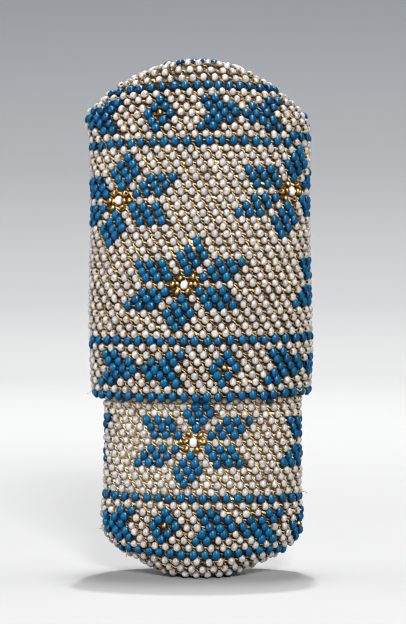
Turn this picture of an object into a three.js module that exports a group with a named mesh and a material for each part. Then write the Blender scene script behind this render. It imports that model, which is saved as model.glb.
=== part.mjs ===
// A beaded purse in two halves that telescope: a crocheted pouch that stands on its rounded base,
// and a crocheted cap that slides down over the open top of the pouch.
// Millimetres, +Z up, the front faces -Y. The origin is on the floor under the middle of the purse.

import * as THREE from 'three';

// Driving dimensions
const totalHeight = 127;
const hemHeight = 44.2; // lower edge of the cap, above the floor
const rimHeight = 82.6; // upper edge of the pouch, inside the cap
const wallThickness = 1.65; // one layer of seed beads on its crocheted ground
const edgeRounding = 0.45; // how far an open edge bulges past its corners
const cornersPerRing = 44;
const ringSpacing = 4.2; // greatest distance between two rings along a half's side

// Oval sections of the cap's outside, from its open hem up to its crown.
// A section is halfWidth across and halfDepth deep, with its middle shiftX to the right.
const capSections = [
  { z: hemHeight, halfWidth: 26.9, halfDepth: 12.8, shiftX: 0.2 },
  { z: 50, halfWidth: 27.35, halfDepth: 13.0, shiftX: 0.15 },
  { z: 67, halfWidth: 27.45, halfDepth: 13.1, shiftX: -0.05 },
  { z: 84, halfWidth: 27.1, halfDepth: 13.0, shiftX: -0.15 },
  { z: 99, halfWidth: 27.05, halfDepth: 13.0, shiftX: -0.15 },
  { z: 107, halfWidth: 27.25, halfDepth: 12.9, shiftX: -0.2 },
  { z: 111, halfWidth: 27.0, halfDepth: 12.3, shiftX: -0.45 },
  { z: 114, halfWidth: 25.9, halfDepth: 11.6, shiftX: -0.9 },
  { z: 117, halfWidth: 23.5, halfDepth: 10.7, shiftX: -1.25 },
  { z: 120, halfWidth: 20.2, halfDepth: 9.7, shiftX: -1.35 },
  { z: 122.6, halfWidth: 16.2, halfDepth: 8.6, shiftX: -1.3 },
  { z: 124.8, halfWidth: 11.7, halfDepth: 7.2, shiftX: -1.1 },
  { z: 126.3, halfWidth: 7.3, halfDepth: 5.3, shiftX: -0.9 },
  { z: totalHeight, halfWidth: 3.4, halfDepth: 2.9, shiftX: -0.8 },
];

// The same for the pouch, from its open rim down to the flat that it stands on.
const pouchSections = [
  { z: rimHeight, halfWidth: 23.7, halfDepth: 10.0, shiftX: 0.4 },
  { z: 64, halfWidth: 24.0, halfDepth: 10.2, shiftX: 0.4 },
  { z: 48, halfWidth: 24.35, halfDepth: 10.3, shiftX: 0.5 },
  { z: 32, halfWidth: 24.45, halfDepth: 10.4, shiftX: 0.5 },
  { z: 21, halfWidth: 24.6, halfDepth: 10.4, shiftX: 0.4 },
  { z: 15, halfWidth: 25.1, halfDepth: 10.4, shiftX: 0.3 },
  { z: 11, halfWidth: 24.8, halfDepth: 10.3, shiftX: 0.4 },
  { z: 8, halfWidth: 23.0, halfDepth: 10.0, shiftX: 0.6 },
  { z: 5.2, halfWidth: 20.1, halfDepth: 9.6, shiftX: 0.8 },
  { z: 2.8, halfWidth: 16.6, halfDepth: 9.1, shiftX: 1.0 },
  { z: 1.0, halfWidth: 13.2, halfDepth: 8.3, shiftX: 1.1 },
  { z: 0, halfWidth: 10.4, halfDepth: 7.2, shiftX: 1.1 },
];

const columns = ['z', 'halfWidth', 'halfDepth', 'shiftX'];

// A smooth run of sections through a table's rows, with extra ones where two rows are far apart.
function smoothSections(table) {
  const places = [0];
  for (let row = 1; row < table.length; row += 1) {
    const rise = table[row].z - table[row - 1].z;
    const run = table[row].halfWidth - table[row - 1].halfWidth;
    places.push(places[row - 1] + Math.hypot(rise, run));
  }
  const values = table.flatMap((section) => columns.map((column) => section[column]));
  const curve = new THREE.CubicInterpolant(places, values, columns.length);
  const sections = [];
  for (let row = 1; row < table.length; row += 1) {
    const span = places[row] - places[row - 1];
    const steps = Math.ceil(span / ringSpacing);
    for (let step = row === 1 ? 0 : 1; step <= steps; step += 1) {
      const [z, halfWidth, halfDepth, shiftX] = curve.evaluate(places[row - 1] + (span * step) / steps);
      sections.push({ z, halfWidth, halfDepth, shiftX });
    }
  }
  return sections;
}

// The corners of one oval section, running round so that faces built from rim to pole look outwards.
function ovalRing({ z, halfWidth, halfDepth, shiftX }, turn) {
  const ring = [];
  for (let corner = 0; corner < cornersPerRing; corner += 1) {
    const angle = (turn * corner * 2 * Math.PI) / cornersPerRing;
    ring.push(new THREE.Vector3(shiftX + halfWidth * Math.cos(angle), halfDepth * Math.sin(angle), z));
  }
  return ring;
}

function middleOf(ring) {
  const sum = ring.reduce((total, point) => total.add(point), new THREE.Vector3());
  return sum.divideScalar(ring.length);
}

// Triangles between each ring and the next, then a fan from the last ring to the pole after it.
function skinTriangles(ringCount) {
  const triangles = [];
  const pole = ringCount * cornersPerRing;
  for (let ring = 0; ring < ringCount; ring += 1) {
    for (let corner = 0; corner < cornersPerRing; corner += 1) {
      const next = (corner + 1) % cornersPerRing;
      const here = ring * cornersPerRing;
      const there = here + cornersPerRing;
      if (ring === ringCount - 1) {
        triangles.push([here + corner, here + next, pole]);
      } else {
        triangles.push([here + corner, here + next, there + next]);
        triangles.push([here + corner, there + next, there + corner]);
      }
    }
  }
  return triangles;
}

function geometryOf(points, triangles) {
  const geometry = new THREE.BufferGeometry().setFromPoints(points);
  geometry.setIndex(triangles.flat());
  geometry.computeVertexNormals();
  return geometry;
}

// One half of the purse: a hollow wall that is open at the table's first section and closed past its last.
function hollowHalf(table) {
  const closesUp = table.at(-1).z > table[0].z;
  const rings = smoothSections(table).map((section) => ovalRing(section, closesUp ? 1 : -1));
  const outside = [...rings.flat(), middleOf(rings.at(-1))];
  const skin = skinTriangles(rings.length);

  // The inside lies one wall behind the outside, level with it at the open edge.
  const normals = geometryOf(outside, skin).getAttribute('normal');
  const inside = outside.map((point, index) => {
    const inward = new THREE.Vector3().fromBufferAttribute(normals, index).negate();
    if (index < cornersPerRing) {
      inward.setZ(0).normalize();
    }
    return point.clone().addScaledVector(inward, wallThickness);
  });

  // The open edge is rounded by a ring between the two skins that stands a little past them.
  const past = closesUp ? -edgeRounding : edgeRounding;
  const edge = rings[0].map((point, index) => {
    const between = new THREE.Vector3().lerpVectors(point, inside[index], 0.5);
    return between.setZ(point.z + past);
  });

  const insideStart = outside.length;
  const edgeStart = insideStart + inside.length;
  const triangles = [...skin];
  for (const [a, b, c] of skin) {
    triangles.push([insideStart + a, insideStart + c, insideStart + b]);
  }
  for (let corner = 0; corner < cornersPerRing; corner += 1) {
    const next = (corner + 1) % cornersPerRing;
    triangles.push([edgeStart + corner, edgeStart + next, next]);
    triangles.push([edgeStart + corner, next, corner]);
    triangles.push([insideStart + corner, insideStart + next, edgeStart + next]);
    triangles.push([insideStart + corner, edgeStart + next, edgeStart + corner]);
  }
  return geometryOf([...outside, ...inside, ...edge], triangles);
}

// Opal and turquoise glass on cream silk, seen together from a little way off
const capCrochet = new THREE.MeshStandardMaterial({ color: 0x9fb2b8, roughness: 0.35, metalness: 0 });
const pouchCrochet = new THREE.MeshStandardMaterial({ color: 0xa8b3b1, roughness: 0.38, metalness: 0 });

function beadedHalf(name, table, material) {
  const half = new THREE.Mesh(hollowHalf(table), material);
  half.name = name;
  return half;
}

const purse = new THREE.Group();
purse.name = 'beaded_purse';
purse.add(beadedHalf('beaded_pouch', pouchSections, pouchCrochet));
purse.add(beadedHalf('beaded_cap', capSections, capCrochet));

export default purse;
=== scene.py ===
import math

import bpy
import numpy as np
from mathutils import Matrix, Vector
from mathutils.bvhtree import BVHTree
from mathutils.kdtree import KDTree


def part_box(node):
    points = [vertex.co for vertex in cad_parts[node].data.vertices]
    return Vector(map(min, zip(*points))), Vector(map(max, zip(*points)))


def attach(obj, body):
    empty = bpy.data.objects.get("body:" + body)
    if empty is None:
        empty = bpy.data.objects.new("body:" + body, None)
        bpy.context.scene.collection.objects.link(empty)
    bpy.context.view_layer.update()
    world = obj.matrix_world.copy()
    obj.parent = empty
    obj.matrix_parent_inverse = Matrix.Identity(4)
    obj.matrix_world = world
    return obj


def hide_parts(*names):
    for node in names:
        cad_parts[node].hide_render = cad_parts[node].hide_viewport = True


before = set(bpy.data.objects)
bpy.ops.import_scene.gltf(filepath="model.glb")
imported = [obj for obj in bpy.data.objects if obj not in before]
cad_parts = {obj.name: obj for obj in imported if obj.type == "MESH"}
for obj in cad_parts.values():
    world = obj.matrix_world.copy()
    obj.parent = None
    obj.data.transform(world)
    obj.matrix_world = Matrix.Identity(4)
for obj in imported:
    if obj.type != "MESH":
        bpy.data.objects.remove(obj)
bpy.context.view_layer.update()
mm = 0.001
dice = np.random.default_rng(17)

# How the picture is taken
camera = {
    "distance": 450 * mm,  # in front of the purse's middle
    "sideways": 0.57 * mm,
    "height": 77.8 * mm,
    "tiltDown": math.radians(1.636),
    "lens": 105.06,  # in millimetres, as the sensor's width is
    "sensor": 36.0,
    "nearest": 10 * mm,
}

# Sizes of the bead work that both halves share
beadWork = {
    "depth": 0.65 * mm,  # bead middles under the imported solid's outside
    "poleGap": 1.2 * mm,  # a round's beads stay this far from the middle of the closed end
    "sideGap": 0.35,  # bead pitches kept clear where a shortened round turns to the back
    "giltAside": 0.57,  # bead pitches from a flower's middle to a gilt bead squeezed in
    "levelHeight": 77.8 * mm,  # rows are level here, and bend more with the distance from it
    "wander": 0.1 * mm,  # how far a bead strays from its place
    "deepWander": 0.6,  # the share of that by which it strays in or out
    "sway": math.radians(7),  # how far it turns out of line
    "roll": math.radians(9),  # and round its hole
    "sizeSpread": 0.05,
    "brightest": 1.1,  # the most that a bead's tint may reach
}

# The bead chart, as steps along a row and rows up from a motif's middle
hexSteps = [(1, 0), (0.5, 1), (-0.5, 1), (-1, 0), (-0.5, -1), (0.5, -1)]
petalReach = (1, 2, 3)
flowerPetals = [
    (a * p[0] + b * q[0], a * p[1] + b * q[1])
    for p, q in zip(hexSteps, hexSteps[1:] + hexSteps[:1])
    for a in petalReach
    for b in petalReach
]
rosetteRing = hexSteps + [(0, 2), (0, -2)]
bowHalf = [(0.5, 0), (1.5, 0), (2.5, 0), (1, 1), (2, 1), (3, 1), (2.5, 2), (3.5, 2)]
bow = sorted({(sx * x, sy * y) for x, y in bowHalf for sx in (1, -1) for sy in (1, -1)})

# The two halves. Beads are numbered along one spiral, from nought at the front flower's middle.
capWork = {
    "node": "beaded_cap",
    "body": "cap",
    "down": 1,  # the closed end is on top
    "beadsPerRow": 45,  # half a bead more takes the chart from row to row
    "lean": 0.13,  # a true round has this much more, so that motifs lean
    "flowerHeight": 71.94 * mm,
    "flowerArc": -4.08 * mm,
    # rows down from the flower's, and how far down the front each lies in millimetres
    "rowMarks": (
        (-36, -65.5), (-33, -60.0), (-32, -58.1), (-31, -56.0), (-30, -53.1), (-29, -50.8), (-28, -48.7),
        (-20, -34.5), (0, 0.0), (17, 28.9),
    ),
    # rows down, and how many beads each has strayed to the right of the even lean
    "strayMarks": ((-36, 1.1), (-24, 0.8), (-12, 0.58), (0, 0.0), (17, 0.0)),
    "tilt": 0.8 * mm,  # how far rows rise from the front to the right
    "bend": 0.02,  # and how much they bend at the sides
    "frontTight": 0.02,  # share by which beads crowd at the front and back
    "fullRows": (-24.4, 18),  # rows between which no bead is dropped
    "taperPitch": 0.94,  # bead pitch past those rows, against the flower row's
    # heights in millimetres, how far the silk is creamy there and how light it is
    "silkHeights": (70, 88, 103, 111, 118),
    "silkCream": (0, 0.5, 0.5, 0, 0),
    "silkLift": (0.06, 0.36, 0.36, 0.06, -0.35),
    "silkLeft": -0.25,  # how much more creamy it is to the left
    # where the sides stand out a little, less at the right
    "shoulder": {"height": 112.5 * mm, "reach": 3.5 * mm, "out": 1.2 * mm, "rightShare": 0.4},
    "flanks": None,
    "lumps": (-274, -229, -228),  # beads with a lump of loose silk at their right
    # ground silk tints, least and most creamy; the near-black first is painted shade in the gaps between
    # the beads
    "groundTints": ((0.045, 0.026, 0.008), (0.2, 0.14, 0.06)),
    "beads": (-1640, 761),  # the first number and the last
    "flowers": (-584, -569, -554, 0, 15, 30),
    "rosettes": (-1128, -1113, -1098, 536, 551, 566),
    "bows": (-1120.5, -1105.5, -1090.5, 543.5, 558.5, 573.5),
    "blueRuns": ((-1489, -1444), (-1309, -1264), (-949, -904), (356, 401), (716, 761)),
}
pouchWork = {
    "node": "beaded_pouch",
    "body": "pouch",
    "down": -1,  # the closed end is below
    "beadsPerRow": 39,
    "lean": 0.13,
    "flowerHeight": 33.64 * mm,
    "flowerArc": -2.43 * mm,
    "rowMarks": ((-28, -49.1), (-6, -10.4), (0, 0.0), (8, 13.8), (16, 27.65), (26, 47.3)),
    "strayMarks": ((-28, 0.0), (26, 0.0)),
    "tilt": 0.1 * mm,
    "bend": 0.0,
    "frontTight": 0.03,
    "fullRows": (-30, 11.5),
    "taperPitch": 0.97,
    "silkHeights": (13, 24),
    "silkCream": (0, 0.65),
    "silkLift": (-0.12, 0.52),
    "silkLeft": 0.45,
    "shoulder": None,
    # how far the base curls up at both sides of its middle
    "flanks": {"side": 15 * mm, "reach": 7 * mm, "height": 8 * mm, "left": 0.8 * mm, "right": 1.6 * mm},
    "lumps": (),
    # ground silk tints, least and most creamy; the near-black first is painted shade in the gaps between
    # the beads
    "groundTints": ((0.04, 0.024, 0.008), (0.55, 0.43, 0.25)),
    "beads": (-1126, 960),
    "flowers": (-494, -481, -468, -13, 0, 13),
    "rosettes": (-966, -953, -940, 460, 473, 486),
    "bows": (-959.5, -946.5, -933.5, 466.5, 479.5, 492.5),
    "blueRuns": ((-1126, -1087), (-810, -771), (296, 335), (612, 651), (770, 809)),
}


# How closely the halves are read
reading = {
    "sections": 320,
    "first": 0.01,  # share of the way at which they start, before the bunching
    "bunching": 1.6,  # the power that draws them towards the closed end
    "clear": 0.7 * mm,  # the last one stops short of the rounded edge
    "past": 5,  # and is repeated this many times as far beyond it
    "rayStart": 100 * mm,  # how far out the level rays begin
    "poleClear": 0.05 * mm,  # nothing is placed nearer the pole, where no way is right
    "ovalSteps": 720,  # in which an oval's arcs are added up
}


# Oval sections of a half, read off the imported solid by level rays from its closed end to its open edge
def readHalf(work):
    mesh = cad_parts[work["node"]].data
    faces = [tuple(face.vertices) for face in mesh.polygons]
    tree = BVHTree.FromPolygons([corner.co for corner in mesh.vertices], faces)
    low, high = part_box(work["node"])
    pole, edge = (high.z, low.z) if work["down"] > 0 else (low.z, high.z)
    clear = math.copysign(reading["clear"], edge - pole)
    far = reading["rayStart"]
    shares = np.linspace(reading["first"], 1, reading["sections"]) ** reading["bunching"]
    sections = []
    for z in pole + (edge - clear - pole) * shares:
        right = tree.ray_cast(Vector((far, 0, z)), Vector((-1, 0, 0)))[0].x
        left = tree.ray_cast(Vector((-far, 0, z)), Vector((1, 0, 0)))[0].x
        middle = (left + right) / 2
        front = tree.ray_cast(Vector((middle, -far, z)), Vector((0, 1, 0)))[0].y
        sections.append((z, (right - left) / 2, -front, middle))
    past = edge + reading["past"] * clear
    sections = [(pole, 0, 0, sections[0][3])] + sections + [(past,) + sections[-1][1:]]
    z, halfWidth, halfDepth, middle = np.array(sections).T
    length = np.concatenate([[0], np.cumsum(np.hypot(np.diff(z), np.diff(halfDepth)))])
    half = {"length": length, "z": z, "halfWidth": halfWidth, "halfDepth": halfDepth, "middle": middle}
    for key in ("z", "halfWidth", "halfDepth", "middle"):
        half[key + "Slope"] = np.gradient(half[key], length)
    for key in ("down", "shoulder", "flanks"):
        half[key] = work[key]
    return half


def at(half, key, length):
    return np.interp(length, half["length"], half[key])


def unit(vectors):
    return vectors / np.linalg.norm(vectors, axis=-1, keepdims=True)


# How far the cap's sides stand out at its shoulder
def shoulderBulge(shoulder, c, z):
    if shoulder is None:
        return 0.0
    bulge = shoulder["out"] * np.where(c < 0, 1, shoulder["rightShare"]) * c**4
    return bulge * np.exp(-(((z - shoulder["height"]) / shoulder["reach"]) ** 2))


# How far the pouch's base curls up at its flanks
def flankCurl(flanks, x, z):
    if flanks is None:
        return 0.0
    curl = np.where(x < 0, flanks["left"], flanks["right"]) * np.exp(-((z / flanks["height"]) ** 2))
    return curl * np.exp(-(((np.abs(x) - flanks["side"]) / flanks["reach"]) ** 2))


# Points under a half's outside, each with the way to the right, up and out from there
def placeOn(half, theta, length, depth):
    length = np.maximum(length, reading["poleClear"])
    a, b = at(half, "halfWidth", length), at(half, "halfDepth", length)
    c, s = np.cos(theta), np.sin(theta)
    right = unit(np.stack([-a * s, b * c, np.zeros_like(a)], -1))
    alongX = at(half, "middleSlope", length) + at(half, "halfWidthSlope", length) * c
    along = np.stack([alongX, at(half, "halfDepthSlope", length) * s, at(half, "zSlope", length)], -1)
    up = -half["down"] * unit(along)
    out = unit(np.cross(right, up))
    up = np.cross(out, right)
    z = at(half, "z", length)
    point = np.stack([at(half, "middle", length) + a * c, b * s, z], -1)
    point = point + out * (shoulderBulge(half["shoulder"], c, z) - depth)[..., None]
    point[..., 2] += flankCurl(half["flanks"], point[..., 0], z)
    return point, right, up, out


# Angles round one oval for arc distances counted from its front, or else the length of the whole round
def ovalAngles(half, length, arcs=None):
    theta = np.linspace(-math.pi / 2, 1.5 * math.pi, reading["ovalSteps"] + 1)
    a, b = at(half, "halfWidth", length), at(half, "halfDepth", length)
    step = np.hypot(np.diff(a * np.cos(theta)), np.diff(b * np.sin(theta)))
    run = np.concatenate([[0], np.cumsum(step)])
    if arcs is None:
        return run[-1]
    return np.interp(np.mod(arcs, run[-1]), run, theta)


def lengthAtHeight(half, height):
    return np.interp(-half["down"] * height, -half["down"] * half["z"], half["length"])


# How far a row lies from the closed end
def rowLength(half, work, row):
    marks = np.array(work["rowMarks"]).T
    below = np.interp(row, marks[0], marks[1]) * mm
    return lengthAtHeight(half, work["flowerHeight"]) + half["down"] * below


def perRound(work):
    return work["beadsPerRow"] + 0.5 + work["lean"]


# Rows rise a little to the right and bend at the sides
def bentLength(half, work, theta, length):
    above = at(half, "z", length) - beadWork["levelHeight"]
    rise = work["tilt"] * np.cos(theta) - work["bend"] * above * np.cos(theta) ** 2
    return length - half["down"] * rise


# Every bead's number, angle and distance from the closed end, where rounds drop beads at the sides
def layBeads(half, work):
    index = np.concatenate([np.arange(work["beads"][0], work["beads"][1] + 1), extraGilt(work)])
    row = index / perRound(work)
    length = rowLength(half, work, row)
    girth = ovalAngles(half, rowLength(half, work, 0.0))
    pitch = girth / perRound(work)
    strayRow, stray = np.array(work["strayMarks"]).T
    turns = work["flowerArc"] / girth + row + np.interp(row, strayRow, stray) / perRound(work)
    rounds = np.floor(turns + 0.5)
    share = turns - rounds
    theta = np.full(len(index), np.nan)
    for turn in np.unique(rounds):
        here = np.flatnonzero((rounds == turn) & (length > beadWork["poleGap"]))
        if not len(here):
            continue
        middle = length[here].mean()
        around = ovalAngles(half, middle)
        crowd = work["frontTight"] / (4 * math.pi) * np.sin(4 * math.pi * share[here])
        arcs = (share[here] - crowd) * around
        middleRow = row[here].mean()
        if not work["fullRows"][0] < middleRow < work["fullRows"][1]:
            full = perRound(work) * pitch * work["taperPitch"]
            front = share[here] * full
            back = (0.5 - np.abs(share[here])) * full
            arcs = np.where(np.abs(front) <= around / 4, front, np.sign(front) * (around / 2 - back))
            dropFrom = around / 4 - beadWork["sideGap"] * pitch
            arcs[(np.abs(front) > around / 4) & (back > dropFrom)] = np.nan
        found = ~np.isnan(arcs)
        theta[here[found]] = ovalAngles(half, middle, arcs[found])
    kept = ~np.isnan(theta)
    index, theta, length, row = index[kept], theta[kept], length[kept], row[kept]
    return {
        "index": index,
        "theta": theta,
        "length": bentLength(half, work, theta, length),
        "row": row,
        "pitch": pitch,
        "kind": beadKinds(index, work),
    }


# Short rows: opal beads packed into what the rounds on the closed end leave open
shortRows = {
    "spacing": 2.0 * mm,  # least room between the middles of two beads
    "start": 0.2 * mm,  # the places tried, from the middle of the closed end
    "step": 0.25 * mm,
    "angles": 240,
    "firstNumber": -100000.0,  # clear of the chart's
}


def fillGaps(half, work, laid):
    closedRow = work["fullRows"][0] if half["down"] > 0 else work["fullRows"][1]
    lengths = np.arange(shortRows["start"], rowLength(half, work, closedRow), shortRows["step"])
    angles = np.arange(shortRows["angles"]) * 2 * math.pi / shortRows["angles"]
    length, theta = [grid.ravel() for grid in np.meshgrid(lengths, angles)]
    spots = placeOn(half, theta, length, np.full(len(theta), beadWork["depth"]))[0]
    depth = np.full(len(laid["theta"]), beadWork["depth"])
    taken = placeOn(half, laid["theta"], laid["length"], depth)[0]
    tree = KDTree(len(taken))
    for number, spot in enumerate(taken):
        tree.insert(spot, number)
    tree.balance()
    nearest = [tree.find(spot) for spot in spots]
    room = np.array([found[2] for found in nearest])
    spacing = shortRows["spacing"]
    added = []
    while (room >= spacing).any():
        added.append(int(np.argmin(np.where(room >= spacing, room, np.inf))))
        room = np.minimum(room, np.linalg.norm(spots - spots[added[-1]], axis=1))
    print("beads added in short rows", len(added))
    beside = [nearest[pick][1] for pick in added]
    extra = {
        "index": shortRows["firstNumber"] - np.arange(len(added)),
        "theta": theta[added],
        "length": length[added],
        "row": laid["row"][beside],
        "kind": np.full(len(added), "opal"),
    }
    return laid | {key: np.concatenate([laid[key], extra[key]]) for key in extra}


# Small gilt beads squeezed in at both sides of a flower's middle, numbered between their neighbours
def extraGilt(work):
    aside = beadWork["giltAside"]
    return [middle + side for middle in work["flowers"] for side in (-aside, aside)]


# Which glass each numbered bead is
def beadKinds(index, work):
    step = work["beadsPerRow"] + 0.5

    def numbers(centres, offsets):
        return [round(centre + x - step * y) for centre in centres for x, y in offsets]

    blue = [n for start, end in work["blueRuns"] for n in range(start, end + 1)]
    blue += numbers(work["flowers"], flowerPetals)
    blue += numbers(work["rosettes"], rosetteRing)
    blue += numbers(work["bows"], bow)
    gilt = numbers(work["flowers"], hexSteps) + list(work["rosettes"]) + extraGilt(work)
    kinds = np.full(len(index), "opal")
    kinds[np.isin(index, blue)] = "blue"
    kinds[np.isin(index, gilt)] = "gilt"
    kinds[np.isin(index, work["flowers"])] = "milk"
    return kinds


# A joined smooth mesh from arrays of corners and four-sided faces
def meshPiece(name, points, quads, material):
    mesh = bpy.data.meshes.new(name)
    mesh.vertices.add(len(points))
    mesh.vertices.foreach_set("co", np.ascontiguousarray(points, dtype=np.float32).ravel())
    mesh.loops.add(quads.size)
    mesh.loops.foreach_set("vertex_index", np.ascontiguousarray(quads, dtype=np.int32).ravel())
    mesh.polygons.add(len(quads))
    mesh.polygons.foreach_set("loop_start", np.arange(len(quads), dtype=np.int32) * 4)
    mesh.polygons.foreach_set("use_smooth", np.full(len(quads), True))
    mesh.update(calc_edges=True)
    mesh.validate()
    mesh.materials.append(material)
    piece = bpy.data.objects.new(name, mesh)
    bpy.context.scene.collection.objects.link(piece)
    return piece


# A colour for every corner
def tintPiece(piece, tints):
    colours = np.ones((len(tints), 4), dtype=np.float32)
    colours[:, :3] = tints
    layer = piece.data.color_attributes.new("tint", "FLOAT_COLOR", "POINT")
    layer.data.foreach_set("color", colours.ravel())


# A place on the material's map for every corner of every face
def mapPiece(piece, spots):
    layer = piece.data.uv_layers.new(name="work")
    layer.data.foreach_set("uv", np.ascontiguousarray(spots, dtype=np.float32).ravel())


# Shaders
def startMaterial(name):
    material = bpy.data.materials.new(name)
    material.use_nodes = True
    nodes = material.node_tree.nodes
    return material, nodes, material.node_tree.links, nodes["Principled BSDF"]


def addNode(nodes, kind, **values):
    node = nodes.new(kind)
    for key, value in values.items():
        if hasattr(node, key):
            setattr(node, key, value)
        else:
            node.inputs[key].default_value = value
    return node


def ramp(nodes, links, source, stops):
    node = nodes.new("ShaderNodeValToRGB")
    elements = node.color_ramp.elements
    while len(elements) < len(stops):
        elements.new(0.5)
    for element, (place, colour) in zip(elements, stops):
        element.position = place
        element.color = (*colour, 1)
    links.new(source, node.inputs["Fac"])
    return node.outputs["Color"]


def mixColour(nodes, links, mode, amount, first, second):
    node = nodes.new("ShaderNodeMix")
    node.data_type = "RGBA"
    node.blend_type = mode
    for socket, value in ((node.inputs[0], amount), (node.inputs[6], first), (node.inputs[7], second)):
        if isinstance(value, bpy.types.NodeSocket):
            links.new(value, socket)
        else:
            socket.default_value = value
    return node.outputs[2]


def grainNoise(nodes, links, scale, detail=3.0):
    coordinates = nodes.new("ShaderNodeTexCoord")
    noise = addNode(nodes, "ShaderNodeTexNoise", Scale=scale, Detail=detail)
    links.new(coordinates.outputs["Object"], noise.inputs["Vector"])
    return noise.outputs["Fac"]


def addBump(nodes, links, shader, height, strength, distance):
    bump = addNode(nodes, "ShaderNodeBump", Strength=strength, Distance=distance)
    links.new(height, bump.inputs["Height"])
    links.new(bump.outputs["Normal"], shader.inputs["Normal"])


def grey(value):
    return (value, value, value)


glassWork = {"fineDetail": 2.0, "bumpHeight": 0.05 * mm}  # for all the beads


# Glass and gilt: bands of colour round the hole that also paint light and shade, thread showing at its
# ends, and each bead's own tint
def glassMaterial(name, look):
    material, nodes, links, shader = startMaterial(name)
    tint = addNode(nodes, "ShaderNodeVertexColor", layer_name="tint").outputs["Color"]
    spots = nodes.new("ShaderNodeSeparateXYZ")
    links.new(addNode(nodes, "ShaderNodeUVMap", uv_map="work").outputs["UV"], spots.inputs["Vector"])
    colour = ramp(nodes, links, spots.outputs["Y"], look["bands"])
    ends = ramp(nodes, links, spots.outputs["X"], look["endShare"])
    colour = mixColour(nodes, links, "MIX", ends, colour, (*look["ends"], 1))
    colour = mixColour(nodes, links, "MULTIPLY", 1.0, colour, tint)
    cloud = ramp(nodes, links, grainNoise(nodes, links, look["cloudScale"]), look["cloud"])
    links.new(mixColour(nodes, links, "MULTIPLY", 1.0, colour, cloud), shader.inputs["Base Color"])
    fine = grainNoise(nodes, links, look["fineScale"], glassWork["fineDetail"])
    links.new(ramp(nodes, links, fine, look["roughness"]), shader.inputs["Roughness"])
    addBump(nodes, links, shader, fine, look["bump"], glassWork["bumpHeight"])
    for socket, value in look["shader"].items():
        shader.inputs[socket].default_value = value
    return material


# Bands run from a bead's back (0) by its underside (0.25), face (0.5) and top (0.75) to its back again
# Besides each glass's own tones, the bands paint shade on the underside and rims and light on the face
glassEnds = ((0.02, grey(0.75)), (0.16, grey(0.0)), (0.84, grey(0.0)), (0.98, grey(0.75)))
clearEnds = ((0.04, grey(0.85)), (0.23, grey(0.0)), (0.77, grey(0.0)), (0.96, grey(0.85)))
# Opal glass: bluish at top and bottom, with the silk showing warm through its underside.
opalLook = {
    # Its bands also paint shade on the underside and rims, and light either side of the face.
    "bands": (
        (0.25, (0.09, 0.066, 0.038)),
        (0.3, (0.205, 0.188, 0.164)),
        (0.36, (0.255, 0.256, 0.272)),
        (0.42, (0.287, 0.283, 0.29)),
        (0.46, (0.297, 0.286, 0.272)),
        (0.5, (0.276, 0.265, 0.257)),
        (0.55, (0.3, 0.291, 0.275)),
        (0.59, (0.27, 0.274, 0.286)),
        (0.63, (0.217, 0.24, 0.285)),
        (0.68, (0.178, 0.194, 0.232)),
        (0.75, (0.132, 0.123, 0.108)),
    ),
    "endShare": clearEnds,
    "ends": (0.3, 0.22, 0.11),
    "cloudScale": 1500.0,
    # a random mottle whose light spots are painted glints of light inside the glass
    "cloud": ((0.36, (0.58, 0.61, 0.72)), (0.52, (0.96, 0.95, 0.94)), (0.66, (1.12, 1.10, 1.08))),
    "fineScale": 2600.0,
    "roughness": ((0.3, grey(0.06)), (0.7, grey(0.14))),
    "bump": 0.1,
    "shader": {
        "IOR": 1.5,
        "Specular IOR Level": 0.21,
        "Subsurface Weight": 0.15,
        "Subsurface Radius": (1.0, 0.95, 0.85),
        "Subsurface Scale": 0.4 * mm,
    },
}
# Blue glass, with painted light on the upper face and painted shade on the underside and rims
blueLook = {
    "bands": (
        (0.24, (0.0, 0.007, 0.02)),
        (0.33, (0.0, 0.016, 0.046)),
        (0.45, (0.0, 0.036, 0.093)),
        (0.57, (0.0, 0.054, 0.129)),
        (0.65, (0.001, 0.07, 0.155)),
        (0.76, (0.0, 0.028, 0.067)),
    ),
    "endShare": glassEnds,
    "ends": (0.0, 0.018, 0.046),
    "cloudScale": 900.0,
    "cloud": ((0.3, (0.85, 0.86, 0.88)), (0.7, (1.0, 1.0, 1.0))),
    "fineScale": 2600.0,
    "roughness": ((0.3, grey(0.05)), (0.7, grey(0.1))),
    "bump": 0.06,
    "shader": {"IOR": 1.5, "Specular IOR Level": 0.12},
}
# Gilt, with painted light towards the top and painted shade underneath
giltLook = {
    "bands": ((0.25, (0.07, 0.032, 0.008)), (0.45, (0.22, 0.125, 0.038)), (0.7, (0.31, 0.195, 0.074))),
    "endShare": glassEnds,
    "ends": (0.12, 0.06, 0.016),
    "cloudScale": 900.0,
    "cloud": ((0.3, (0.72, 0.66, 0.6)), (0.7, (1.0, 1.0, 1.0))),
    "fineScale": 2200.0,
    "roughness": ((0.3, grey(0.28)), (0.7, grey(0.44))),
    "bump": 0.3,
    "shader": {"Metallic": 1.0},
}
# Milk glass, with painted light on the upper face and painted shade underneath and along the top edge
milkLook = {
    "bands": (
        (0.25, (0.22, 0.22, 0.23)),
        (0.4, (0.38, 0.375, 0.37)),
        (0.6, (0.44, 0.435, 0.42)),
        (0.78, (0.3, 0.3, 0.29)),
    ),
    "endShare": glassEnds,
    "ends": (0.2, 0.175, 0.13),
    "cloudScale": 800.0,
    "cloud": ((0.3, (0.93, 0.92, 0.88)), (0.7, (1.0, 1.0, 1.0))),
    "fineScale": 2400.0,
    "roughness": ((0.3, grey(0.08)), (0.7, grey(0.16))),
    "bump": 0.1,
    "shader": {"IOR": 1.5, "Specular IOR Level": 0.2},
}


# What all the silk has in common
silkWork = {
    "wave": {"Distortion": 1.2, "Detail": 2.0, "Detail Scale": 2.0},
    "roughness": ((0.2, grey(0.5)), (0.8, grey(0.3))),
    "bumpHeight": 0.12 * mm,
    "shader": {
        "Specular IOR Level": 0.14,
        "Sheen Weight": 0.08,
        "Sheen Roughness": 0.4,
        "Sheen Tint": (1.0, 0.86, 0.6, 1),
    },
}
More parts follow.
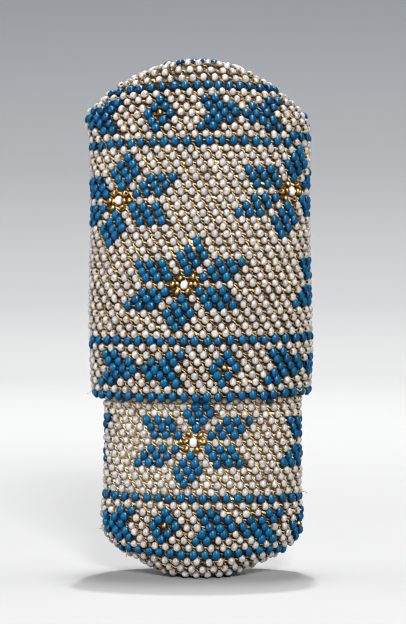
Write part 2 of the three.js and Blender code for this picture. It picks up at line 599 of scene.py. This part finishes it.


# Plied silk: slanting bands along the strand, with painted shade darkening the lay between two plies
def silkMaterial(name, look):
    material, nodes, links, shader = startMaterial(name)
    tint = addNode(nodes, "ShaderNodeVertexColor", layer_name="tint").outputs["Color"]
    spots = addNode(nodes, "ShaderNodeUVMap", uv_map="work").outputs["UV"]
    bands = addNode(nodes, "ShaderNodeTexWave", wave_type="BANDS", bands_direction="DIAGONAL")
    bands.inputs["Scale"].default_value = look["plies"]
    for socket, value in silkWork["wave"].items():
        bands.inputs[socket].default_value = value
    links.new(spots, bands.inputs["Vector"])
    lay = ramp(nodes, links, bands.outputs["Fac"], look["lay"])
    cloud = ramp(nodes, links, grainNoise(nodes, links, look["cloudScale"]), look["cloud"])
    colour = mixColour(nodes, links, "MULTIPLY", 1.0, tint, lay)
    colour = mixColour(nodes, links, "MULTIPLY", 1.0, colour, cloud)
    links.new(colour, shader.inputs["Base Color"])
    rough = ramp(nodes, links, bands.outputs["Fac"], silkWork["roughness"])
    links.new(rough, shader.inputs["Roughness"])
    addBump(nodes, links, shader, bands.outputs["Fac"], look["bump"], silkWork["bumpHeight"])
    for socket, value in silkWork["shader"].items():
        shader.inputs[socket].default_value = value
    return material


threadLook = {
    "plies": 0.9,
    # painted shade in the lay between two plies
    "lay": ((0.25, (0.6, 0.5, 0.4)), (0.75, (1.0, 1.0, 1.0))),
    "cloudScale": 420.0,
    "cloud": ((0.3, (0.72, 0.62, 0.5)), (0.7, (1.0, 1.0, 1.0))),
    "bump": 0.5,
}
groundLook = {
    "plies": 1.2,
    # painted shade in the lay between two plies
    "lay": ((0.3, (0.35, 0.27, 0.2)), (0.75, (1.0, 1.0, 1.0))),
    "cloudScale": 300.0,
    "cloud": ((0.3, (0.6, 0.5, 0.4)), (0.7, (1.0, 1.0, 1.0))),
    "bump": 0.9,
}


# One bead round its hole, which lies along the first axis: a closed ring, its faces and their map
def beadShape(profile, sides):
    angles = (np.arange(sides) / sides - 0.5) * 2 * math.pi
    hole, radius = np.array(profile).T
    along = np.repeat(hole[:, None], sides, 1)
    up, out = radius[:, None] * np.sin(angles), radius[:, None] * np.cos(angles)
    corners = np.stack([along, up, out], -1).reshape(-1, 3)
    ring, side = np.meshgrid(np.arange(len(profile)), np.arange(sides), indexing="ij")
    ring, side = ring.ravel(), side.ravel()
    nextRing, after = (ring + 1) % len(profile), (side + 1) % sides
    here, there = ring * sides, nextRing * sides
    quads = np.stack([here + side, there + side, there + after, here + after], -1)
    share = hole / (2 * hole.max()) + 0.5
    u = np.stack([share[ring], share[nextRing], share[nextRing], share[ring]], -1)
    v = np.stack([side, side, side + 1, side + 1], -1) / sides
    return corners, quads, np.stack([u, v], -1)


# A bead's outline, as places along its hole and distances from it
roundProfile = [(-0.66, 0.38), (-0.43, 0.78), (0.0, 1.0), (0.43, 0.78), (0.66, 0.38)]
cutProfile = [(-0.55, 0.32), (-0.62, 0.6), (-0.3, 0.9), (0.3, 0.9), (0.62, 0.6), (0.55, 0.32)]

# How each kind of bead is shaped, and the tints that its beads are drawn from
beadKindTable = {
    "opal": {
        "profile": roundProfile,
        "sides": 10,
        "scale": (1.27, 1.09, 0.94),
        "tints": [(1.0, 0.99, 0.96), (0.97, 0.97, 0.98), (1.02, 0.98, 0.94), (0.92, 0.92, 0.92)],
        "spread": 0.06,
        "look": opalLook,
        "slot": "opal_beads",
    },
    "blue": {
        "profile": roundProfile,
        "sides": 10,
        "scale": (1.5, 1.28, 0.98),
        "tints": [(1.0, 1.0, 1.0), (1.0, 1.0, 1.0), (1.0, 0.93, 1.02), (1.0, 1.05, 0.94)],
        "spread": 0.09,
        "look": blueLook,
        "slot": "blue_beads",
    },
    "gilt": {
        "profile": cutProfile,
        "sides": 10,
        "scale": (0.84, 0.94, 0.9),
        "sway": math.radians(45),  # these turn every way
        "tints": [(1.0, 1.0, 1.0), (0.92, 0.9, 0.85)],
        "spread": 0.08,
        "look": giltLook,
        "slot": "gilt_beads",
    },
    "milk": {
        "profile": roundProfile,
        "sides": 12,
        "scale": (1.45, 1.25, 1.0),
        "tints": [(1.0, 1.0, 1.0)],
        "spread": 0.03,
        "look": milkLook,
        "slot": "white_beads",
    },
}


# All beads of one glass on one half
def beadPiece(name, half, laid, kind, body):
    table = beadKindTable[kind]
    chosen = np.flatnonzero(laid["kind"] == kind)
    count = len(chosen)
    wander = beadWork["wander"]
    length = laid["length"][chosen] + dice.normal(0, wander, count)
    depth = beadWork["depth"] + dice.normal(0, wander * beadWork["deepWander"], count)
    point, right, up, out = placeOn(half, laid["theta"][chosen], length, depth)
    point = point + right * dice.normal(0, wander, count)[:, None]
    turn = dice.normal(0, table.get("sway", beadWork["sway"]), (count, 2))
    right = unit(right + up * turn[:, :1] + out * turn[:, 1:])
    up = unit(np.cross(out, right) + out * dice.normal(0, beadWork["roll"], (count, 1)))
    out = np.cross(right, up)
    corners, quads, spots = beadShape(table["profile"], table["sides"])
    size = mm * np.array(table["scale"]) * (1 + dice.normal(0, beadWork["sizeSpread"], (count, 3)))
    local = corners[None] * size[:, None]
    axes = np.stack([right, up, out], 1)
    points = point[:, None] + np.einsum("nvk,nkd->nvd", local, axes)
    points[..., 2] -= np.minimum(points[..., 2].min(1, keepdims=True), 0)  # none sinks into the floor
    points = points.reshape(-1, 3)
    faces = (quads[None] + (np.arange(count) * len(corners))[:, None, None]).reshape(-1, 4)

    tints = np.array(table["tints"])[dice.integers(0, len(table["tints"]), count)]
    tints = tints * (1 + dice.normal(0, table["spread"], (count, 1)))
    piece = meshPiece(name, points, faces, materials[kind])
    tintPiece(piece, np.repeat(np.clip(tints, 0, beadWork["brightest"]), len(corners), 0))
    mapPiece(piece, np.tile(spots, (count, 1, 1)))
    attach(piece, body)


# Strands of thread as joined tubes; each strand is a row of points with the way out from its bead
def tubePiece(name, paths, outs, radius, tints, material):
    sides = 4  # so that one face closes each end
    strands, knots = paths.shape[:2]
    ahead = unit(np.gradient(paths, axis=1))
    across = unit(np.cross(ahead, outs[:, None]))
    lift = np.cross(across, ahead)
    angles = (np.arange(sides) + 0.5) * 2 * math.pi / sides
    swing = across[:, :, None] * np.cos(angles)[:, None] + lift[:, :, None] * np.sin(angles)[:, None]
    points = (paths[:, :, None] + swing * np.asarray(radius)[..., None, None]).reshape(-1, 3)
    knot, side = np.meshgrid(np.arange(knots - 1), np.arange(sides), indexing="ij")
    knot, side = knot.ravel(), side.ravel()
    after = (side + 1) % sides
    here, there = knot * sides, (knot + 1) * sides
    wall = np.stack([here + side, there + side, there + after, here + after], -1)
    ends = np.array([[3, 0, 1, 2], [0, 3, 2, 1]]) + np.array([[0], [(knots - 1) * sides]])
    quads = np.concatenate([wall, ends])
    faces = (quads[None] + (np.arange(strands) * knots * sides)[:, None, None]).reshape(-1, 4)
    piece = meshPiece(name, points, faces, material)
    tintPiece(piece, np.repeat(tints.reshape(-1, 3), sides, 0))
    steps = np.linalg.norm(np.diff(paths, axis=1), axis=-1)
    run = np.concatenate([np.zeros((strands, 1)), np.cumsum(steps, 1)], 1) / mm
    u = np.stack([side, side, side + 1, side + 1], -1) / sides
    v = np.stack([run[:, knot], run[:, knot + 1], run[:, knot + 1], run[:, knot]], -1)
    wallSpots = np.stack([np.broadcast_to(u, v.shape), v], -1)
    endSpots = np.zeros((strands, len(ends), sides, 2))
    mapPiece(piece, np.concatenate([wallSpots, endSpots], 1))
    return piece


# The three strands at each bead: bead pitches to the right, rows up, millimetres out, and how light
# That lightness is painted light and shade: light where a strand rises, dark where it dives between the
# beads
rowThread = {
    "path": [
        (0.1, 0.1, -0.3, 0.0),
        (0.3, 0.17, -0.12, 0.5),
        (0.5, 0.08, 0.02, 1.0),
        (0.7, -0.06, -0.12, 0.4),
        (0.92, -0.06, -0.3, 0.0),
    ],
    "radius": 0.13 * mm,
    "shadedTint": (0.02, 0.009, 0.001),
    "tint": (0.52, 0.375, 0.165),
    "spread": 0.3,
    "lump": 2.2,  # how much thicker a lump is
}
loopThread = {
    "path": [
        (0.28, -0.04, -0.55, 0.1),
        (0.4, 0.06, -0.3, 0.7),
        (0.54, 0.0, -0.24, 0.8),
        (0.66, -0.12, -0.3, 0.6),
        (0.76, -0.1, -0.55, 0.0),
    ],
    "radius": 0.23 * mm,
    "shadedTint": (0.015, 0.007, 0.001),
    "tint": (0.44, 0.285, 0.1),
    "spread": 0.45,
    "lump": 0.4,
}
stitchThread = {
    "path": [
        (0.25, 0.0, -0.5, 0.1),
        (0.37, -0.16, -0.15, 0.5),
        (0.49, -0.35, 0.0, 1.0),
        (0.61, -0.54, -0.1, 0.6),
        (0.72, -0.7, -0.5, 0.1),
    ],
    "radius": 0.125 * mm,
    "shadedTint": (0.03, 0.013, 0.002),
    "tint": (0.52, 0.385, 0.2),
    "spread": 0.4,
    "lump": 0.6,
}

# How all the strands vary
threadWork = {
    "strayRight": 0.03,  # in the units of the paths
    "strayUp": 0.05,
    "strayOut": 0.03,
    "smallLump": 0.6,  # against the lumps that are named for each half
    "smallLumpShare": 0.05,  # share of the beads that have one
    "lumpLight": 0.6,  # how much lighter a lump is
    "bluePaintedShade": 0.95,  # painted shade: how much darker the silk is at a blue bead
    "patchy": 0.35,  # how much the light varies along a strand
    "mostLight": 1.4,
    "tintRange": (0.002, 0.9),
    "radiusSpread": 0.1,
    "creamTint": (0.86, 0.73, 0.5),
    "mostCream": 0.9,
}


# How creamy the silk is at each place, and how light
def silkTone(half, work, theta, length):
    height = at(half, "z", length) / mm
    cream = np.interp(height, work["silkHeights"], work["silkCream"])
    left = work["silkLeft"] * np.cos(theta) * cream / max(work["silkCream"])
    lighter = np.interp(height, work["silkHeights"], work["silkLift"])
    return np.clip(cream - left, 0, threadWork["mostCream"]), lighter


# Angles some way round to the right, along the oval at each place
def anglesBeside(half, theta, length, arc):
    a, b = at(half, "halfWidth", length), at(half, "halfDepth", length)
    near = np.hypot(a * np.sin(theta), b * np.cos(theta))
    guess = theta + arc / near
    far = np.hypot(a * np.sin(guess), b * np.cos(guess))
    return theta + 2 * arc / (near + far)


# One strand of a kind at each chosen bead
def threadPiece(name, half, work, laid, thread, chosen):
    theta, length = laid["theta"][chosen, None], laid["length"][chosen, None]
    right, up, out, light = np.array(thread["path"]).T
    count, knots = len(chosen), len(light)
    row = laid["row"][chosen, None]
    rowPitch = np.abs(rowLength(half, work, row + 0.5) - rowLength(half, work, row - 0.5))
    right = right + dice.normal(0, threadWork["strayRight"], (count, knots))
    up = up + dice.normal(0, threadWork["strayUp"], (count, knots))
    out = out + dice.normal(0, threadWork["strayOut"], (count, knots))
    bent = anglesBeside(half, theta, length, right * laid["pitch"])
    reach = length - half["down"] * up * rowPitch
    points = placeOn(half, bent, reach, beadWork["depth"] - out * mm)[0]
    outs = placeOn(half, theta[:, 0], length[:, 0], np.zeros(count))[3]

    lumpy = np.where(dice.random(count) < threadWork["smallLumpShare"], threadWork["smallLump"], 0.0)
    lumpy[np.isin(laid["index"][chosen], work["lumps"])] = 1.0
    lumpy = lumpy[:, None]
    cream, lighter = silkTone(half, work, theta, length)
    # painted light and shade along each strand, from the path's light column
    shade = light + lighter + dice.normal(0, thread["spread"], (count, 1))
    shade = shade + threadWork["lumpLight"] * lumpy
    # painted shade where the silk lies by a blue bead
    shade = shade - threadWork["bluePaintedShade"] * (laid["kind"][chosen] == "blue")[:, None]
    shade = shade + dice.normal(0, threadWork["patchy"], (count, knots))
    shade = np.clip(shade, 0, threadWork["mostLight"])[..., None]
    cream = cream[..., None]
    pale = (1 - cream) * np.array(thread["tint"]) + cream * np.array(threadWork["creamTint"])
    tints = (1 - shade) * np.array(thread["shadedTint"]) + shade * pale
    tints = np.clip(tints, *threadWork["tintRange"])

    thickness = 1 + dice.normal(0, threadWork["radiusSpread"], (count, 1))
    radius = np.repeat(thread["radius"] * thickness * (1 + thread["lump"] * lumpy), knots, 1)
    piece = tubePiece(name, points, outs, radius, tints, materials["thread"])
    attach(piece, work["body"])


# Loose ends of silk: degrees round from the right, height, and a path of millimetres right, up and out
capEnds = (
    (-30, 46.6, ((0, 0, -0.4), (0.3, -0.4, 0.2), (0.8, -0.8, 0.5), (1.3, -0.7, 0.6), (1.6, -0.2, 0.5))),
    (-27, 46.4, ((0, 0, -0.4), (0.2, -0.6, 0.1), (0.7, -1.1, 0.3), (1.2, -1.2, 0.3), (1.7, -0.9, 0.2))),
    (-24, 46.6, ((0, 0, -0.4), (0.4, -0.3, 0.3), (0.9, -0.5, 0.6), (1.2, -1.0, 0.5), (1.1, -1.4, 0.3))),
    (-20, 46.5, ((0, 0, -0.4), (0.3, -0.6, 0.2), (0.5, -1.1, 0.3), (0.4, -1.5, 0.2), (0.1, -1.7, 0.1))),
    (186, 46.6, ((0, 0, -0.6), (0.0, -0.3, 0.4), (0.1, -0.9, 0.8), (0.0, -1.4, 1.4), (0.2, -1.6, 2.1))),
)
pouchEnds = (
    (194, 12.2, ((0, 0, -0.6), (0.1, 0.2, 0.4), (0.2, 0.1, 1.1), (0.1, -0.3, 1.6), (0.0, -0.5, 2.2))),
    (205, 6.0, ((0, 0, -0.6), (0.0, -0.1, 0.3), (-0.2, -0.4, 0.8), (-0.3, -0.9, 1.2), (-0.2, -1.4, 1.4))),
    (352, 20.4, ((0, 0, -0.6), (0.1, 0.1, 0.5), (0.2, 0.2, 1.1), (0.1, 0.1, 1.7), (0.0, -0.2, 2.2))),
    (278, 4.2, ((0, 0, -0.3), (0.6, 0.2, 0.5), (1.3, 0.3, 0.6), (1.9, 0.5, 0.5), (2.5, 0.7, -0.2))),
)
looseEnds = {"cap": capEnds, "pouch": pouchEnds, "radius": 0.13 * mm, "tint": (0.5, 0.41, 0.26)}


def loosePiece(name, half, work):
    angle, height, steps = [np.array(column, dtype=float) for column in zip(*looseEnds[work["body"]])]
    length = lengthAtHeight(half, height * mm)
    depth = np.full(len(angle), beadWork["depth"])
    start, right, up, out = placeOn(half, np.radians(angle), length, depth)
    paths = start[:, None] + mm * np.einsum("nki,nid->nkd", steps, np.stack([right, up, out], 1))
    radius = np.full(paths.shape[:2], looseEnds["radius"])
    tints = np.broadcast_to(looseEnds["tint"], paths.shape)
    piece = tubePiece(name, paths, out, radius, tints, materials["thread"])
    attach(piece, work["body"])


# The silk ground under the beads: a closed shell whose open edge steps with the spiral
groundWork = {
    "outside": 1.2 * mm,  # both faces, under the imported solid's outside
    "inside": 1.72 * mm,
    "columns": 120,
    "levels": 64,
    "bunching": 1.3,  # the power that draws the levels towards the closed end
    "start": 0.15 * mm,  # from the pole to the first level, which is closed by flat faces
    "past": 0.15,  # rows by which the edge passes the last beads
    "lip": 0.2 * mm,  # how far the edge is rounded out past both faces
    "arcSteps": 400,  # in which the stepping edge is worked out
    "weaveRows": 0.8,  # rows of weave from level to level
}


# How far the ground's edge lies from the closed end at each angle
def groundEdge(half, work, theta):
    flowerRow = rowLength(half, work, 0.0)
    girth = ovalAngles(half, flowerRow)
    arcs = np.linspace(0, girth, groundWork["arcSteps"], endpoint=False)
    angles = ovalAngles(half, flowerRow, arcs)
    share = np.interp(np.mod(theta + math.pi / 2, 2 * math.pi) - math.pi / 2, angles, arcs / girth)
    openBead = work["beads"][1] if half["down"] > 0 else work["beads"][0]
    openRow = openBead / perRound(work)
    openTurn = work["flowerArc"] / girth + openRow
    if half["down"] > 0:
        edgeRow = openRow - np.mod(openTurn - share, 1) + groundWork["past"]
    else:
        edgeRow = openRow + np.mod(share - openTurn, 1) - groundWork["past"]
    return bentLength(half, work, theta, rowLength(half, work, edgeRow))


def groundPiece(name, half, work):
    columns, start = groundWork["columns"], groundWork["start"]
    outside, inside = groundWork["outside"], groundWork["inside"]
    theta = np.arange(columns) * 2 * math.pi / columns
    edge = groundEdge(half, work, theta)
    steps = np.linspace(0, 1, groundWork["levels"]) ** groundWork["bunching"]
    length = start + (edge - start) * steps[:, None]
    angle = np.broadcast_to(theta, length.shape)
    outer = placeOn(half, angle, length, np.full(length.shape, outside))[0]
    inner = placeOn(half, angle, length, np.full(length.shape, inside))[0]
    lip = placeOn(half, theta, edge + groundWork["lip"], np.full(columns, (outside + inside) / 2))[0]
    rings = np.concatenate([outer, lip[None], inner[::-1]])
    ring, column = np.meshgrid(np.arange(len(rings) - 1), np.arange(columns), indexing="ij")
    ring, column = ring.ravel(), column.ravel()
    after = (column + 1) % columns
    here, there = ring * columns, (ring + 1) * columns
    walls = np.stack([here + column, here + after, there + after, there + column], -1)
    pairs = np.arange(columns // 2 - 1)
    upward = np.stack([pairs, pairs + 1, columns - 2 - pairs, columns - 1 - pairs], -1)
    downward = upward[:, ::-1]
    lastRing = (len(rings) - 1) * columns
    spread = np.stack([column, column + 1, column + 1, column], -1) * (perRound(work) / columns)
    rows = np.stack([ring, ring, ring + 1, ring + 1], -1) * groundWork["weaveRows"]
    spots = np.stack([spread, rows], -1)
    if half["down"] > 0:
        turned = [0, 3, 2, 1]  # the same faces from their other side
        walls, spots = walls[:, turned], spots[:, turned]
        poles = np.concatenate([upward, lastRing + downward])
    else:
        poles = np.concatenate([downward, lastRing + upward])
    quads = np.concatenate([walls, poles])
    piece = meshPiece(name, rings.reshape(-1, 3), quads, materials["ground"])
    cream = silkTone(half, work, angle, length)[0]
    cream = np.concatenate([cream, cream[-1:], cream[::-1]]).reshape(-1, 1)
    # painted shade: where the silk is not creamy the ground is near black, standing for the shade between
    # the beads
    shadedGround, pale = np.array(work["groundTints"])
    tintPiece(piece, shadedGround + (pale - shadedGround) * cream)
    mapPiece(piece, np.concatenate([spots, np.zeros((len(poles), 4, 2))]))
    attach(piece, work["body"])
    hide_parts(work["node"])


print("materials")
materials = {kind: glassMaterial(kind + "Glass", table["look"]) for kind, table in beadKindTable.items()}
materials["thread"] = silkMaterial("silkThread", threadLook)
materials["ground"] = silkMaterial("silkGround", groundLook)

for work in (capWork, pouchWork):
    body = work["body"]
    print("bead work of the", body)
    half = readHalf(work)
    laid = fillGaps(half, work, layBeads(half, work))
    groundPiece(body + "_silk_ground", half, work)
    for kind in beadKindTable:
        beadPiece(body + "_" + kind + "_beads", half, laid, kind, body)
    everyBead = np.flatnonzero(laid["index"] % 1 == 0)  # but not the squeezed ones
    lastStitch = work["beads"][1] - work["beadsPerRow"] - 2  # stitches reach to the row below
    notLast = everyBead[laid["index"][everyBead] <= lastStitch]
    threadPiece(body + "_row_threads", half, work, laid, rowThread, everyBead)
    threadPiece(body + "_loop_threads", half, work, laid, loopThread, everyBead)
    threadPiece(body + "_stitch_threads", half, work, laid, stitchThread, notLast)
    loosePiece(body + "_loose_ends", half, work)

print("stage")
# A paper sweep: its sizes in metres, and the painted shade that greys it by the height that it has
# climbed
sweep = {
    "front": -2.5,
    "bend": 0.75,
    "radius": 0.35,
    "bendSteps": 25,
    "top": 1.7,
    "halfWidth": 3.0,
    "climb": 0.3,  # the height at which the last grey is reached
    "shadeGreys": (
        (0.0, grey(0.272)),
        (0.15, (0.212, 0.214, 0.217)),
        (0.5, (0.15, 0.154, 0.159)),
        (1.0, (0.117, 0.124, 0.133)),
    ),
    "fibreScale": 60.0,
    "fibre": ((0.3, grey(0.99)), (0.7, grey(1.0))),
    "shader": {"Roughness": 0.85, "Specular IOR Level": 0.1},
}
profile = [(sweep["front"], 0.0)]
for turn in np.linspace(0, math.pi / 2, sweep["bendSteps"]):
    back = sweep["bend"] + sweep["radius"] * math.sin(turn)
    profile.append((back, sweep["radius"] * (1 - math.cos(turn))))
profile.append((sweep["bend"] + sweep["radius"], sweep["top"]))
sides = (-sweep["halfWidth"], sweep["halfWidth"])
sweepPoints = np.array([(x, y, z) for y, z in profile for x in sides])
step = np.arange(len(profile) - 1) * 2
sweepQuads = np.stack([step, step + 1, step + 3, step + 2], -1)


# White paper with painted shade, greyer where it climbs at the back, where the light falls off
def sweepMaterial():
    material, nodes, links, shader = startMaterial("paperSweep")
    parts = nodes.new("ShaderNodeSeparateXYZ")
    links.new(nodes.new("ShaderNodeTexCoord").outputs["Object"], parts.inputs["Vector"])
    climb = nodes.new("ShaderNodeMapRange")
    climb.inputs["From Max"].default_value = sweep["climb"]
    links.new(parts.outputs["Z"], climb.inputs["Value"])
    shade = ramp(nodes, links, climb.outputs["Result"], sweep["shadeGreys"])
    fibre = ramp(nodes, links, grainNoise(nodes, links, sweep["fibreScale"]), sweep["fibre"])
    links.new(mixColour(nodes, links, "MULTIPLY", 1.0, shade, fibre), shader.inputs["Base Color"])
    for socket, value in sweep["shader"].items():
        shader.inputs[socket].default_value = value
    return material


backdrop = meshPiece("backdrop", sweepPoints, sweepQuads, sweepMaterial())

# Softboxes. The purse's own leave the paper alone, and the paper's only light it and cast the shadow.
# The gloss lamp shows in reflections and nowhere else.
lamps = {
    "overhead": {"at": (0.05, 0.32, 2.5), "to": (0, 0, 0.05), "size": (0.5, 0.14), "watts": 58.0},
    "topFront": {"at": (0.12, -0.42, 0.78), "to": (0, 0, 0.06), "size": (0.26, 0.26), "watts": 3.2},
    "rightFront": {"at": (0.34, -1.08, 0.52), "to": (0, 0, 0.06), "size": (0.45, 0.45), "watts": 26.0},
    "leftFill": {"at": (-0.7, -0.5, 0.25), "to": (0, 0, 0.06), "size": (0.6, 0.6), "watts": 11.0},
    "back": {"at": (0, 0.75, 1.25), "to": (0, 0.85, 0), "size": (1.0, 1.0), "watts": 22.0},
    "gloss": {"at": (0.14, -0.4, 1.0), "to": (0, 0, 0.06), "size": (0.45, 0.45), "watts": 50.0},
    "paperKey": {"at": (0.03, 0.36, 2.5), "to": (0, 0, 0), "size": (0.06, 0.06), "watts": 52.0},
    "paperSoft": {"at": (0.05, 0.18, 2.5), "to": (0, 0.18, 0), "size": (0.4, 0.36), "watts": 67.0},
    "paperLeft": {"at": (-1.2, 0.2, 0.6), "to": (0, 0, 0), "size": (1.0, 0.6), "watts": 14.0},
    "paperRight": {"at": (1.2, 0.2, 0.6), "to": (0, 0, 0), "size": (1.0, 0.6), "watts": 16.0},
    "paperFill": {"at": (0.2, -1.1, 0.68), "to": (0, 0, 0.06), "size": (0.3, 0.3), "watts": 21.0},
    "paperBack": {"at": (0, 0.3, 0.5), "to": (0, 1.1, 0.2), "size": (0.8, 0.3), "watts": 3.5},
}
onPaper, offPaper = [bpy.data.collections.new(name) for name in ("onPaper", "offPaper")]
for group, state in ((onPaper, "INCLUDE"), (offPaper, "EXCLUDE")):
    group.objects.link(backdrop)
    group.collection_objects[0].light_linking.link_state = state
for name, lamp in lamps.items():
    light = bpy.data.lights.new(name, "AREA")
    light.energy = lamp["watts"]
    light.shape = "RECTANGLE"
    light.size, light.size_y = lamp["size"]
    holder = bpy.data.objects.new(name, light)
    holder.location = lamp["at"]
    holder.rotation_euler = (Vector(lamp["to"]) - Vector(lamp["at"])).to_track_quat("-Z", "Y").to_euler()
    holder.visible_diffuse = name != "gloss"
    holder.light_linking.receiver_collection = onPaper if name.startswith("paper") else offPaper
    bpy.context.scene.collection.objects.link(holder)

studio = {"Color": (0.95, 0.97, 1.0, 1), "Strength": 0.07}
world = bpy.data.worlds.new("studio")
world.use_nodes = True
for socket, value in studio.items():
    world.node_tree.nodes["Background"].inputs[socket].default_value = value
bpy.context.scene.world = world
bpy.context.scene.view_settings.view_transform = "Standard"
bpy.context.scene.cycles.filter_width = 1.0  # in pixels, for beads as crisp as the photo's

print("camera")
lensData = bpy.data.cameras.new("photoCamera")
lensData.lens = camera["lens"]
lensData.sensor_width = camera["sensor"]
lensData.clip_start = camera["nearest"]
photoCamera = bpy.data.objects.new("photoCamera", lensData)
photoCamera.location = (camera["sideways"], -camera["distance"], camera["height"])
photoCamera.rotation_euler = (math.pi / 2 - camera["tiltDown"], 0, 0)
bpy.context.scene.collection.objects.link(photoCamera)
bpy.context.scene.camera = photoCamera
